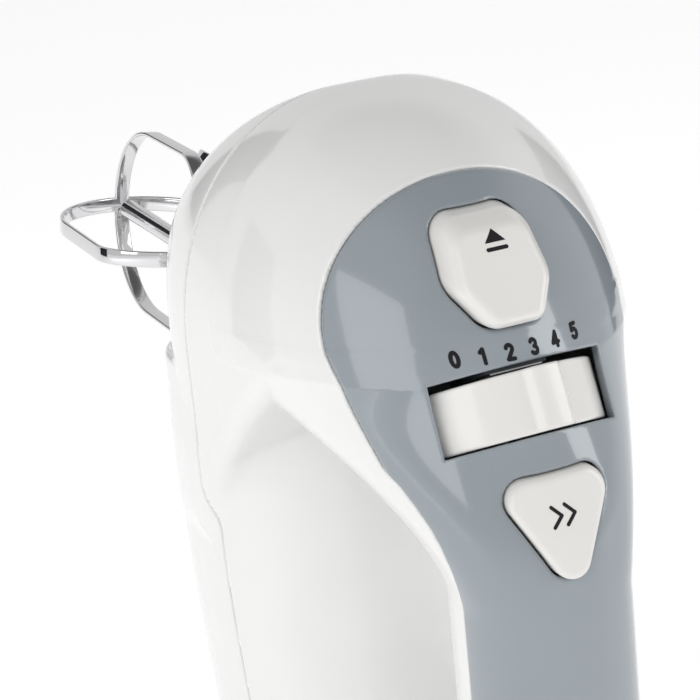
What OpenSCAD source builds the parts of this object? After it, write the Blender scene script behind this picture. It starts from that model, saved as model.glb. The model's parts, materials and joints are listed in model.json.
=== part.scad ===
// Hand mixer standing on its heel, nose up.
// +Z runs from the heel to the nose, -Y faces the control panel on the handle,
// +Y is the underside where the beaters plug in, and X = 0 is the plane of symmetry.

/* [Housing] */
// Length from the heel's rest face to the nose
body_len = 194; // [190:1:200]
// Half the widest width of the hood
hood_half_w = 47; // [45:0.5:49]
// Thickness of the moulded walls
wall = 2.5; // [2.2:0.1:2.8]
// Height of the seam between the two housing halves, along Y
seam_y = 21; // [19:1:24]

/* [Handle] */
// Half the width of the grip
grip_half_w = 18.5; // [17.5:0.5:19.5]
// Top line of the grip, along Y
grip_top_y = -65; // [-66:0.5:-64]
// Under side of the grip, along Y
grip_under_y = -33; // [-34:0.5:-32]

/* [Beaters] */
// Half the distance between the two spindles
spindle_x = 17.5; // [17.5:0.1:17.8]
// Height of the spindles above the heel
spindle_z = 140; // [138:1:142]
// Reach of the beater tips beyond the underside
beater_reach = 82; // [80:1:90]
// Outer radius of a beater's cage
cage_r = 24; // [22:0.5:24.5]
// Width of a beater's strip
strip_w = 4; // [3.4:0.2:4.2]

/* [Controls] */
// Height of the speed dial above the heel
dial_z = 140; // [139:0.5:141]
// Radius of the speed dial
dial_r = 22; // [21.5:0.5:22]
// Angle of one speed step
dial_step = 14; // [12:1:14]
// Travel of the eject button
eject_travel = 6; // [4:1:6]
// Travel of the turbo button
turbo_travel = 2; // [1:0.5:2]

/* [Hidden] */
$fn = 48;

WHITE = [0.93, 0.93, 0.92];
GREY = [0.52, 0.56, 0.60];
STEEL = [0.75, 0.76, 0.78];
COPPER = [0.72, 0.42, 0.22];
BRASS = [0.78, 0.64, 0.34];
DARK = [0.12, 0.12, 0.13];

RING_N = 40;                 // points round one section of the housing
heel_t = 2;                  // thickness of the rubber heel rest
under_y = 65;                // underside of the housing
deck_y = 0;                  // top of the motor housing, under the fingers
nose_y = 11;                 // where the nose comes to its furthest point
shoulder_z = 138;            // the hood keeps its full width up to here
under_turn_z = 157;          // the underside starts to round into the nose here
rim_z = 96;                  // rear rim of the hood at the seam
grip_bend_z = 92;            // the grip is straight up to here
blend_z = 144;               // the grip has grown into the hood here
grip_end_z = 30;             // rear end of the grip
flare_z = 96;                // the grip starts to flare here
motor_y = 33;                // axis of the motor
cover_top_z = 181;           // front tip of the handle cover
cover_wide_z = 150;          // the handle cover is widest here
cover_half_w = 34;
cover_gap = 0.15;            // joint line round the handle cover
dial_tilt = 25;              // slope of the panel at the dial, from Z
turbo_z = 115.5;
eject_z = 164.8;

// ---- Outline formulas of the housing ----
function mix(a, b, t) = a + (b - a) * t;
function clamp01(v) = min(1, max(0, v));
function smooth(a, b, v) = let (t = clamp01((v - a) / (b - a))) t * t * (3 - 2 * t);

// Cubic curve of the top line from the straight grip to the nose, as [y, z]
function top_curve(t) = let (u = 1 - t)
    u * u * u * [grip_top_y, grip_bend_z]
    + 3 * u * u * t * [grip_top_y, grip_bend_z + 37]
    + 3 * u * t * t * [nose_y - 48, body_len]
    + t * t * t * [nose_y, body_len];

TOP_LINE = [for (i = [0:80]) top_curve(i / 80)];
function top_y(z) = z <= grip_bend_z
    ? grip_top_y + 6 * pow(clamp01((grip_end_z + 12 - z) / 12), 2)
    : lookup(z, [for (p = TOP_LINE) [p[1], p[0]]]);
function hood_w(z) = hood_half_w
    * pow(1 - pow(clamp01((z - shoulder_z) / (body_len - shoulder_z)), 2.2), 1 / 2.2);
function hood_under_y(z) = nose_y + (under_y - nose_y)
    * pow(1 - pow(clamp01((z - under_turn_z) / (body_len - under_turn_z)), 1.6), 1 / 1.6);
function hood_mid_y(z) = mix(nose_y, 4, hood_w(z) / hood_half_w);
function grip_w(z) = grip_half_w
    + (hood_half_w - grip_half_w) * pow(clamp01((z - flare_z) / (blend_z - flare_z)), 1.6);
function grip_low_y(z) = grip_under_y + 38 * pow(clamp01((z - 100) / (blend_z - 100)), 1.3);
function motor_w(z) = mix(40, 44.5, smooth(0, 95, z));
function cover_w(z) = z > cover_wide_z
    ? cover_half_w * sqrt(1 - pow(clamp01((z - cover_wide_z) / (cover_top_z - cover_wide_z)), 2))
    : z < 108 ? grip_half_w + 12
    : grip_half_w + (cover_half_w - grip_half_w)
        * (1 - pow((cover_wide_z - z) / (cover_wide_z - flare_z), 1.2));

// Section of the housing: half-width w, top t, underside b, widest at c, power p above, q below
function section(w, t, b, c, p, q, z) = [for (i = [0:RING_N - 1])
    let (a = 360 * i / RING_N, ca = cos(a), sa = sin(a), e = 2 / (sa < 0 ? p : q))
    [w * sign(ca) * pow(abs(ca), e), c + (sa < 0 ? c - t : b - c) * sign(sa) * pow(abs(sa), e), z]];

// Closed solid through a list of sections
module loft(rings) {
    n = len(rings[0]);
    m = len(rings);
    points = [for (r = rings) each r];
    sides = [for (k = [0:m - 2]) for (i = [0:n - 1])
        let (a = k * n + i, b = k * n + (i + 1) % n) each [[a, a + n, b + n], [a, b + n, b]]];
    polyhedron(points, concat(sides, [[for (i = [0:n - 1]) i]],
        [[for (i = [n - 1:-1:0]) (m - 1) * n + i]]), convexity = 6);
}

// Each limb of the housing, shrunk by s on every side
module hood_limb(s) {
    heights = [for (t = [rim_z, 118, 138, 150, 160, 168, 175, 181, 186, 190, 192.4, 193.6]) t];
    k = (body_len - s - rim_z) / (body_len - rim_z);
    loft([for (h = heights) let (z = min(h, body_len - 0.4), zz = rim_z + (z - rim_z) * k)
        section(max(hood_w(z) - s, 2), min(top_y(z) + s, hood_mid_y(z) - 2),
            max(hood_under_y(z) - s, hood_mid_y(z) + 2), hood_mid_y(z), 1.8, 3, zz)]);
}
module hood(s) intersection() {
    hood_limb(s);
    rotate([90, 0, 90]) linear_extrude(height = 120, center = true) polygon([
        [28, rim_z + s], [80, rim_z + s], [80, 200], [-80, 200], [-80, 144], [-20 + s, 144 + s]]);
}
module grip(s) loft([for (z = [grip_end_z + s, 36, 50, 70, 92, 101, 110, 119, 128, 136, 144, 150])
    let (t = top_y(z) + s, b = grip_low_y(min(z, blend_z)) - s, f = smooth(100, blend_z, z))
    section(grip_w(min(z, blend_z)) - s, t, b, mix((t + b) / 2, b - 1, f), mix(2.6, 1.8, f), 2.6, z)]);
module heel_post(s) loft([for (z = [heel_t + s, 8, 16, 24, 32, 42 - 2 * s])
    section(17.5 - s, mix(-40, -56, smooth(heel_t, 34, z)) + s, 30, -10, 4, 4, z)]);
module motor_limb(s) loft([for (z = [heel_t + s, 5 + s, 12, 40, 70, 95, 112, 130])
    let (r = z < 9 ? 3 : 0)
    section(motor_w(z) - s - r, deck_y + s + r, under_y - s - r, motor_y, 3, 3, z)]);
module housing(s) union() {
    hood(s);
    grip(s);
    heel_post(s);
    motor_limb(s);
}

// Space taken by the handle cover, grown by g; EDGE_LINE is its edge on the flanks, as [z, y]
EDGE_LINE = [[0, -51], [96, -51], [106, -51.5], [112, -50.5], [116, -49], [120, -46.5],
    [124, -43.5], [128, -39], [140, -25], [200, -5]];
module cover_zone(g) intersection() {
    rotate([90, 0, 0]) linear_extrude(height = 100) polygon(concat(
        [for (i = [0:24]) let (z = mix(cover_top_z + g, flare_z, i / 24)) [cover_w(z - g) + g, z]],
        [[30, flare_z - 1], [30, grip_end_z + 6 - g], [-30, grip_end_z + 6 - g], [-30, flare_z - 1]],
        [for (i = [24:-1:0]) let (z = mix(cover_top_z + g, flare_z, i / 24)) [-cover_w(z - g) - g, z]]));
    rotate([90, 0, 90]) linear_extrude(height = 100, center = true)
        polygon(concat([[-90, 0]], [for (p = EDGE_LINE) [p[1] + g, p[0]]], [[-90, 200]]));
}

// Outlines of the two buttons, looking along +Y, grown by g
function rounded(pts, r, g) = [for (k = [0:len(pts) - 1])
    let (n = len(pts), p = pts[k], a = pts[(k + n - 1) % n], b = pts[(k + 1) % n],
        ua = (a - p) / norm(a - p), ub = (b - p) / norm(b - p),
        half = acos(ua * ub) / 2, c = p + (ua + ub) / norm(ua + ub) * r[k] / sin(half),
        a0 = atan2(-(ua + ub)[1], -(ua + ub)[0]), span = 90 - half)
    for (j = [-3:3]) c + (r[k] + g) * [cos(a0 + span * j / 3), sin(a0 + span * j / 3)]];
EJECT_CORNERS = [[-9.6, 10], [-11.4, -3], [-6.2, -11], [6.2, -11], [11.4, -3], [9.6, 10]];
EJECT_ROUNDS = [5.5, 6, 4.5, 4.5, 6, 5.5];
TURBO_CORNERS = [[-14, 10], [0, -15.8], [14, 10]];
TURBO_ROUNDS = [4.5, 4.5, 4.5];
module eject_outline(g) polygon(rounded(EJECT_CORNERS, EJECT_ROUNDS, g));
module turbo_outline(g) polygon(rounded(TURBO_CORNERS, TURBO_ROUNDS, g));
module along_y(z, from, to) translate([0, to, z]) rotate([90, 0, 0])
    linear_extrude(height = to - from) children();

// Frame of the dial: its axle runs along the panel's length
dial_face_y = top_y(dial_z);
dial_axle_y = dial_face_y - 1.2 + dial_r * cos(dial_tilt);
dial_axle_z = dial_z - dial_r * sin(dial_tilt);
module at_dial() translate([0, dial_axle_y, dial_axle_z]) rotate([-dial_tilt, 0, 0]) children();

// ---- Shells ----
bridge_top = 42.3;           // the heel bridge ends here, level with the floor of the finger gap
gland_z = 19;
gland_y = -57;               // outer end of the cord gland
gland_len = 23;
gland_bore = 3.6;
module bridge_block(g) translate([-40, -90, -1]) cube([80, 90 - 0.05 + g, bridge_top + 1 + g]);
module upper_shell() color(WHITE) resize([0, 0, 0]) difference() {
    housing(0);
    housing(wall);
    translate([-60, seam_y, -1]) cube([120, 90, 210]);
    cover_zone(cover_gap);
    bridge_block(0.05);
}
// The hollow foot that joins the grip's rear end to the motor housing
module heel_bridge() color(WHITE) resize([0, 0, 0]) difference() {
    intersection() {
        housing(0);
        bridge_block(0);
    }
    housing(wall);
    cover_zone(cover_gap);
    translate([0, -70, gland_z]) rotate([-90, 0, 0]) cylinder(h = 40, r = 6.1);
}

module lower_shell() color(WHITE) resize([0, 0, 0]) difference() {
    housing(0);
    housing(wall);
    translate([-60, -90, -1]) cube([120, 90 + seam_y + 0.3, 210]);
    for (side = [-1, 1]) translate([side * spindle_x, 50, spindle_z])
        rotate([-90, 0, 0]) cylinder(h = 20, r = 10.2);
    for (side = [-1, 1], k = [0:4])
        translate([side * 15 - 9, 55, 22 + 7 * k]) cube([18, 20, 3]);
    for (p = screw_spots) translate([p[0], head_y(p), p[1]]) rotate([-90, 0, 0]) {
        translate([0, 0, -30]) cylinder(h = 32, r = 1.6, $fn = 24);
        translate([0, 0, -0.1]) cylinder(h = 20, r = 3.3, $fn = 24);
    }
}

module handle_cover() color(GREY) resize([0, 0, 0]) difference() {
    intersection() {
        housing(-0.4);
        cover_zone(0);
    }
    housing(wall);
    translate([0, dial_face_y, dial_z]) rotate([-dial_tilt, 0, 0]) cube([39, 30, 15], center = true);
    along_y(eject_z, -80, 0) eject_outline(0.4);
    along_y(turbo_z, -80, -30) turbo_outline(0.4);
}

module rounded_plate(x, y0, y1, h, r) {
    translate([-x + r, y0, 0]) cube([2 * (x - r), y1 - y0, h]);
    translate([-x, y0 + r, 0]) cube([2 * x, y1 - y0 - 2 * r, h]);
    for (sx = [-1, 1], y = [y0 + r, y1 - r]) translate([sx * (x - r), y, 0]) cylinder(h = h, r = r);
}
module heel_rest() color(DARK) union() {
    rounded_plate(14, -36, 12, heel_t, 6);
    rounded_plate(29, 6, 59, heel_t, 10);
}

module cord_gland() color(GREY) translate([0, gland_y, gland_z]) rotate([-90, 0, 0]) difference() {
    union() {
        cylinder(h = gland_len, r = 6);
        translate([0, 0, gland_len - 2.8]) cylinder(h = 2.8, r = 8);
        cylinder(h = 2.5, r = 7);
    }
    translate([0, 0, -1]) cylinder(h = gland_len + 2, r = gland_bore);
}

screw_spots = [[-30, 112], [30, 112], [-24, 12], [24, 12], [0, 178]];
function head_y(p) = p[1] > 150 ? 48 : p[1] < 50 ? 60 : 58;
module case_screws() color(STEEL) for (p = screw_spots) translate([p[0], head_y(p), p[1]])
    rotate([-90, 0, 0]) union() {
        translate([0, 0, -26]) cylinder(h = 26.5, r = 1.5, $fn = 24);
        cylinder(h = 2.2, r = 3.2, $fn = 24);
    }

// ---- Drive ----
worm_r = 3.35;
gear_r = 14.05;
gear_teeth = 27;
gear_t = 9;
shaft_r = 2.5;
module along_motor(z) translate([0, motor_y, z]) children();

module gearbox_frame() color([0.25, 0.26, 0.28]) difference() {
    union() {
        translate([-33, 44, 122]) cube([66, 5, 36]);
        for (side = [-1, 1]) translate([side * 34 - 2, 20, 122]) cube([4, 25, 36]);
        translate([-35, 20, 117]) cube([70, 29, 5]);
        for (side = [-1, 1]) translate([side * 34 - 2, 20, 117]) cube([4, 25, 6]);
        translate([-5, 15.2, 151]) cube([10, 30, 6]);
    }
    for (side = [-1, 1]) translate([side * spindle_x, 40, spindle_z])
        rotate([-90, 0, 0]) cylinder(h = 12, r = 8.5);
    along_motor(110) cylinder(h = 20, r = 6);
}
module stator_core() color(STEEL) along_motor(50) difference() {
    translate([-27, -24, 0]) cube([54, 48, 34]);
    translate([0, 0, -1]) cylinder(h = 36, r = 17);
    for (side = [-1, 1]) translate([-14, side * 16 - 4, -1]) cube([28, 8, 36]);
}
module field_coils() color(COPPER) for (side = [-1, 1]) translate([0, motor_y + side * 16, 50])
    difference() {
        translate([-13.5, -3.2, -7]) cube([27, 6.4, 48]);
        translate([-9.5, -5, -3]) cube([19, 10, 40]);
        translate([0, -side * 16, -8]) cylinder(h = 50, r = 17.3);
    }
module bearing(z, h) color(BRASS) along_motor(z) difference() {
    cylinder(h = h, r = 6);
    translate([0, 0, -1]) cylinder(h = h + 2, r = shaft_r + 0.05);
}
module rear_bearing() bearing(18, 6);
module front_bearing() bearing(117, 5);
module brush_holders() color(BRASS) for (side = [-1, 1]) along_motor(37) difference() {
    translate([side * 16 - 6, -4, -4]) cube([12, 8, 8]);
    translate([side * 16 - 7, -2.6, -2.6]) cube([14, 5.2, 5.2]);
}
module carbon_brushes() color(DARK) for (side = [-1, 1]) along_motor(37)
    translate([side * 14 - 5.2, -2.5, -2.5]) cube([10.4, 5, 5]);
module spindle_bushes() color(BRASS) for (side = [-1, 1]) translate([side * spindle_x, 0, spindle_z])
    rotate([-90, 0, 0]) difference() {
        union() {
            translate([0, 0, 44]) cylinder(h = 5, r = 8.5);
            translate([0, 0, 49.2]) cylinder(h = 16.6, r = 10);
        }
        translate([0, 0, 40]) cylinder(h = 30, r = 6.55);
    }

module armature_shaft() color(STEEL) along_motor(16) cylinder(h = 116, r = shaft_r);
module drive_worm() color(STEEL) along_motor(132) union() {
    cylinder(h = 16, r = 2.4);
    linear_extrude(height = 16, twist = -720, slices = 32) translate([0.75, 0]) circle(r = worm_r - 0.75, $fn = 12);
}
module armature_core() color(STEEL) along_motor(51) difference() {
    cylinder(h = 32, r = 15.5);
    translate([0, 0, -1]) cylinder(h = 34, r = shaft_r);
    for (k = [0:8]) rotate(40 * k) translate([13, -1.2, -1]) cube([4, 2.4, 34]);
}
module armature_windings() color(COPPER) along_motor(0) for (z = [45, 83.2]) translate([0, 0, z])
    difference() {
        cylinder(h = 5.8, r = 13);
        translate([0, 0, -1]) cylinder(h = 8, r = shaft_r);
    }
module commutator() color(COPPER) along_motor(31) difference() {
    cylinder(h = 12, r = 8.5);
    translate([0, 0, -1]) cylinder(h = 14, r = shaft_r);
    for (k = [0:11]) rotate(30 * k) translate([7.7, -0.3, -1]) cube([2, 0.6, 14]);
}
module cooling_fan() color(WHITE) along_motor(96) difference() {
    union() {
        cylinder(h = 12, r = 6);
        cylinder(h = 1.6, r = 24);
        for (k = [0:10]) rotate(360 / 11 * k) translate([4, -0.7, 0]) cube([19.5, 1.4, 11]);
    }
    translate([0, 0, -1]) cylinder(h = 14, r = shaft_r);
}

gear_outline = [for (k = [0:gear_teeth - 1], s = [[-0.32, 0], [-0.17, 1], [0.17, 1], [0.32, 0]])
    let (a = 360 / gear_teeth * (k + s[0]), r = gear_r - 1.5 + 1.5 * s[1]) r * [cos(a), sin(a)]];
module worm_gear(side) color(WHITE) translate([side * spindle_x, motor_y - gear_t / 2, spindle_z])
    rotate([-90, 0, 0]) difference() {
        linear_extrude(height = gear_t) polygon(gear_outline);
        translate([0, 0, -1]) cylinder(h = gear_t + 2, r = 6.5);
    }
module spindle(side) color(STEEL) translate([side * spindle_x, 20, spindle_z]) rotate([-90, 0, 0])
    difference() {
        union() {
            cylinder(h = 49, r = 6.5);
            translate([0, 0, 18.2]) cylinder(h = 3, r = 8);
        }
        translate([0, 0, -1]) cylinder(h = 51, r = 3.4);
    }
module plunger(side) color(WHITE) translate([side * spindle_x, 8, spindle_z]) rotate([-90, 0, 0]) union() {
    cylinder(h = 30, r = 3);
    cylinder(h = 2.5, r = 5.5);
}

// ---- Beaters ----
socket_y = 38.3;             // inner end of a beater's shaft when it is plugged in
cage_start_y = 83;           // where the strips leave the shaft
tip_y = under_y + beater_reach;
strip_t = 1;
// Half of a loop's outline, from the shaft to the tip, as [radius, y]: a short quarter ellipse, a straight run
// and a longer quarter ellipse
LOOP = concat([for (i = [0:10]) let (a = 9 * i) [sin(a), 0.22 * (1 - cos(a))]],
    [for (i = [0:12]) let (a = 7.5 * i) [cos(a), 0.6 + 0.4 * sin(a)]]);
function loop_line(r0) = [for (p = LOOP) [max(cage_r * p[0] - r0, 0), mix(cage_start_y + r0, tip_y - r0, p[1])]];
module beater_place(side, turn) translate([side * spindle_x, 0, spindle_z]) rotate([0, turn, 0]) children();
left_turn = 8;
right_turn = 45 - left_turn;
module beater_shaft(side, turn) color(STEEL) beater_place(side, turn) rotate([-90, 0, 0]) union() {
    translate([0, 0, socket_y]) cylinder(h = tip_y - 6 - socket_y, r = 2.4);
    translate([0, 0, socket_y]) cylinder(h = 22, r = 3);
}
module beater_collar(side, turn) color(STEEL) beater_place(side, turn) rotate([-90, 0, 0]) difference() {
    union() {
        translate([0, 0, 70]) cylinder(h = 3, r = 5);
        translate([0, 0, 73]) cylinder(h = 9.6, r = 3.6);
    }
    translate([0, 0, 60]) cylinder(h = 30, r = 2.4);
}
module beater_loops(side, turn) color(STEEL) difference() {
    beater_place(side, turn) {
        strip_pair();
    }
    beater_place(side, turn) rotate([-90, 0, 0]) translate([0, 0, 60]) cylinder(h = tip_y - 66, r = 2.4);
}
module strip_pair() union() {
    loop_half();
    rotate([0, 90, 0]) loop_half();
}
module loop_half() for (m = [0, 1]) mirror([m, 0, 0]) translate([0, 0, -strip_w / 2])
    linear_extrude(height = strip_w)
        polygon(concat(loop_line(0), [for (i = [len(LOOP) - 1:-1:0]) loop_line(strip_t)[i]]));

// ---- Controls ----
module eject_button() color(WHITE) intersection() {
    along_y(eject_z, -60, -22) eject_outline(0);
    translate([0, top_y(eject_z) - 5.4, eject_z]) rotate([-34, 0, 0]) translate([-20, 0, -20]) cube([40, 13, 40]);
}
module ejector_bar() color(GREY) union() {
    translate([-2.5, -26, eject_z - 6]) cube([5, 30, 6]);
    translate([-24, 1.5, 134]) cube([48, 3, 12]);
    translate([-5, 1.5, 134]) cube([10, 3, eject_z - 134]);
}
module spring(r, wire, h, turns) rotate_extrude_stack(r, wire, h, turns);
module rotate_extrude_stack(r, wire, h, turns) union() {
    for (k = [0:turns]) translate([0, 0, k * (h - wire) / turns])
        rotate_extrude($fn = 32) translate([r, 0]) translate([-wire / 2, 0]) square([wire, wire]);
    for (k = [0:turns - 1]) rotate(180 * k) translate([r - wire / 2, -wire / 2, k * (h - wire) / turns])
        cube([wire, wire, (h - wire) / turns + wire / 2]);
}
module eject_spring() color(STEEL) translate([0, 4.8, 154]) rotate([-90, 0, 0]) spring(4, 0.8, 10, 5);
module turbo_spring() color(STEEL) translate([0, -52.5, turbo_z]) rotate([-90, 0, 0]) spring(3.4, 0.6, 6, 4);
module turbo_button() color(WHITE) intersection() {
    along_y(turbo_z, -75, -52.6) turbo_outline(0);
    translate([0, top_y(turbo_z) - 1.6, turbo_z]) rotate([-17, 0, 0]) translate([-20, 0, -20]) cube([40, 4, 40]);
}
module turbo_switch() color(DARK) translate([-7, -46.4, turbo_z - 5]) cube([14, 9, 7.8]);

ridge_turn = 8;              // the thumb ridge stands at speed 3
steps_down = 3;
steps_up = 2;
face_half = 55;              // half the angle of the drum that fills the window
module speed_dial() color(WHITE) at_dial() rotate([0, 0, -90]) difference() {
    from = -face_half - steps_up * dial_step;
    to = face_half + steps_down * dial_step;
    union() {
        translate([0, 0, -6.6]) linear_extrude(height = 13.2) polygon(concat(
            [for (i = [0:30]) let (a = mix(from, to, i / 30)) dial_r * [cos(a), sin(a)]],
            [for (i = [30:-1:0]) let (a = mix(from, to, i / 30)) (dial_r - 2.4) * [cos(a), sin(a)]]));
        translate([0, 0, -6.6]) linear_extrude(height = 13.2) polygon([
            for (p = [[-16, -0.6], [-7, 1.2], [7, 1.2], [16, -0.6]])
                (dial_r + p[1]) * [cos(ridge_turn + p[0]), sin(ridge_turn + p[0])]]);
        translate([0, 0, -1.5]) linear_extrude(height = 3) polygon(concat([[-3, 0]],
            [for (i = [0:12]) let (a = mix(from, to, i / 12)) (dial_r - 1.4) * [cos(a), sin(a)]]));
        translate([0, 0, -6]) cylinder(h = 12, r = 4);
    }
    translate([0, 0, -8]) cylinder(h = 16, r = 1.55);
}
module dial_axle() color(STEEL) at_dial() translate([0, 0, -10.5]) cylinder(h = 21, r = 1.5);
module dial_bracket() color(GREY) at_dial() for (s = [-1, 1]) difference() {
    translate([-7, 6 - dial_r, s * 9 - 1.5]) cube([14, dial_r - 3, 3]);
    translate([0, 0, -12]) cylinder(h = 24, r = 1.5);
}
module detent_spring() color(STEEL) at_dial() translate([-6, -16, 7.2]) cube([12, 8, 0.3]);
module speed_switch() color(DARK) translate([-26, -22, 148]) cube([12, 14, 16]);
module circuit_board() color([0.15, 0.35, 0.2]) union() {
    translate([-14, -46, 60]) cube([28, 1.6, 42]);
    translate([-9, -44.5, 66]) cube([10, 3.3, 16]);
    translate([3, -50, 84]) cube([8, 4.2, 12]);
}

upper_shell();
heel_bridge();
lower_shell();
handle_cover();
heel_rest();
cord_gland();
case_screws();
gearbox_frame();
stator_core();
field_coils();
rear_bearing();
front_bearing();
brush_holders();
carbon_brushes();
spindle_bushes();
dial_bracket();
dial_axle();
detent_spring();
speed_switch();
turbo_switch();
circuit_board();
eject_button();
ejector_bar();
eject_spring();
speed_dial();
turbo_button();
turbo_spring();
armature_shaft();
drive_worm();
armature_core();
armature_windings();
commutator();
cooling_fan();
spindle(-1);  // spindle_left
worm_gear(-1);  // worm_gear_left
plunger(-1);  // plunger_left
spindle(1);  // spindle_right
worm_gear(1);  // worm_gear_right
plunger(1);  // plunger_right
beater_shaft(-1, left_turn);  // beater_shaft_left
beater_loops(-1, left_turn);  // beater_loops_left
beater_collar(-1, left_turn);  // beater_collar_left
beater_shaft(1, right_turn);  // beater_shaft_right
beater_loops(1, right_turn);  // beater_loops_right
beater_collar(1, right_turn);  // beater_collar_right
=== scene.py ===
"""Hand mixer: the visible surfaces, materials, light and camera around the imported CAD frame.

The moulded shells, cover, buttons and dial are distance fields turned into fine meshes.
Shapes are in millimetres and are scaled to metres when a mesh is made; the studio is in metres.
"""

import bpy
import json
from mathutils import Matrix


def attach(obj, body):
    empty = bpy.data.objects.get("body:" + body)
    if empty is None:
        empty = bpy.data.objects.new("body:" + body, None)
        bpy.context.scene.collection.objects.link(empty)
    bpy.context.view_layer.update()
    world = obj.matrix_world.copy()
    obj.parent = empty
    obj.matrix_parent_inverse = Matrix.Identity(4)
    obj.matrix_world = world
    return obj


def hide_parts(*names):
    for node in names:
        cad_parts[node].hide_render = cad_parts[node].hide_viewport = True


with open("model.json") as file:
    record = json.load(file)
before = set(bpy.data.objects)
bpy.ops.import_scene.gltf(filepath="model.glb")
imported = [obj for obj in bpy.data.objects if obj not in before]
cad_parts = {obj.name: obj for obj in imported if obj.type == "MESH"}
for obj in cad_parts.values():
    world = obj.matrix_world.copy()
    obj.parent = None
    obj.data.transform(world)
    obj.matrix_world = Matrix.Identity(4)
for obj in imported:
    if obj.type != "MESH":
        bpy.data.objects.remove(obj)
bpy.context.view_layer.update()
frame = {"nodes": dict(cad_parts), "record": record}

import json
import math
from concurrent.futures import ThreadPoolExecutor

import bpy
import numpy as np
from mathutils import Matrix, Vector

MM = 0.001

# ---------------------------------------------------------------- driving sizes, in mm
BODY_LEN = 194.0
HOOD_HALF_W = 47.0
WALL = 2.5
SEAM_Y = 21.0
SEAM_GAP = 0.3
GRIP_HALF_W = 18.5
GRIP_TOP_Y = -65.0
GRIP_UNDER_Y = -33.0
SPINDLE_X = 17.5
SPINDLE_Z = 140.0
CAGE_R = 24.0
UNDER_Y = 65.0
BEATER_REACH = 82.0
DECK_Y = 0.0
NOSE_Y = 11.0
SHOULDER_Z = 138.0
UNDER_TURN_Z = 157.0
RIM_Z = 96.0
GRIP_BEND_Z = 92.0
BLEND_Z = 144.0
GRIP_END_Z = 30.0
FLARE_Z = 96.0
MOTOR_Y = 33.0
COVER_TOP_Z = 181.0
COVER_WIDE_Z = 150.0
COVER_HALF_W = 34.0
COVER_GAP = 0.12
DIAL_Z = 140.0
DIAL_R = 22.0
DIAL_TILT = math.radians(25)
TURBO_Z = 115.5
EJECT_Z = 164.8
HEEL_T = 2.0
GLAND_Z = 19.0
GLAND_Y = -57.0
COVER_PROUD = 0.35
BUTTON_GAP = 0.4
EJECT_RISE = 5.4
EJECT_TILT = math.radians(34)
TURBO_RISE = 1.9
TURBO_TILT = math.radians(17)
GLAND_HOLE_R = 6.1
SPINDLE_HOLE_R = 10.2
SCREW_HEAD_HOLE_R = 3.3
SCREW_HOLE_R = 1.6
SCREW_HOLE_LEN = 30
POST_HALF_W = 17.5
WINDOW_HALF_W = 19.5
WINDOW_HALF_H = 7.5
# powers of the superellipses round the nose and under the hood
NOSE_POWER = 2.2
HOOD_UNDER_POWER = 1.6
VENT_COUNT = 5
VENT_PITCH = 7
VENT_FIRST_Z = 23.5
# the case screws: across, height on the case, and the depth of each one's seat
SCREWS = [(-30, 112, 58.0), (30, 112, 58.0), (-24, 12, 60.0), (24, 12, 60.0), (0, 178, 48.0)]
# the lower edge of the handle cover on the hood's flank: heights, and the depth at each
EDGE_LINE = ((0, 96, 106, 112, 116, 120, 124, 128, 140, 200),
             (-51, -51, -51.5, -50.5, -49, -46.5, -43.5, -39, -25, -5))


# ---------------------------------------------------------------- field arithmetic
def smooth_min(a, b, k):
    h = np.clip(0.5 + 0.5 * (b - a) / k, 0, 1)
    return b + (a - b) * h - k * h * (1 - h)


def smooth_max(a, b, k):
    return -smooth_min(-a, -b, k)


def smooth_step(low, high, v):
    t = np.clip((v - low) / (high - low), 0, 1)
    return t * t * (3 - 2 * t)


def mix(a, b, t):
    return a + (b - a) * t


def evaluate(field, p):
    """The field at many points, in slices shared out over the processor's cores."""
    if len(p) < 4000:
        return field(p)
    slices = np.array_split(p, max(4, len(p) // 30000))
    with ThreadPoolExecutor(4) as pool:
        return np.concatenate(list(pool.map(field, slices)))


def gradient(field, p, e=0.05):
    """Central differences of a field at points p."""
    shift = np.concatenate([np.eye(3), -np.eye(3)]) * e
    value = evaluate(field, (p[None] + shift[:, None]).reshape(-1, 3)).reshape(6, -1)
    return ((value[:3] - value[3:]) / (2 * e)).T


def as_distance(shape):
    """Turns a field of any slope into one that is close to a distance near its surface."""
    def scaled(p):
        value, slope = shape(p)
        rise = (shape(p + (0, 0, 0.4))[0] - value) / 0.4
        return value / np.sqrt(np.maximum(slope ** 2 + rise ** 2, 1e-5))
    return scaled


def box_field(p, centre, half, radius=0.0):
    d = np.abs(p - np.array(centre)) - np.array(half) + radius
    outside = np.linalg.norm(np.maximum(d, 0), axis=1)
    return outside + np.minimum(d.max(1), 0) - radius


def polygon_field(x, y, corners):
    """Signed distance to a closed outline in a plane, negative inside."""
    a = np.array(corners, float)
    b = np.roll(a, -1, 0)
    pts = np.stack([x, y], 1)
    best = np.full(len(pts), 1e9)
    inside = np.zeros(len(pts), bool)
    for p0, p1 in zip(a, b):
        edge = p1 - p0
        rel = pts - p0
        t = np.clip(rel @ edge / (edge @ edge), 0, 1)
        best = np.minimum(best, ((rel - t[:, None] * edge) ** 2).sum(1))
        crosses = (p0[1] > pts[:, 1]) != (p1[1] > pts[:, 1])
        if abs(edge[1]) > 1e-9:
            inside ^= crosses & (rel[:, 0] < edge[0] * rel[:, 1] / edge[1])
    return np.sqrt(best) * np.where(inside, -1, 1)


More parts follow.
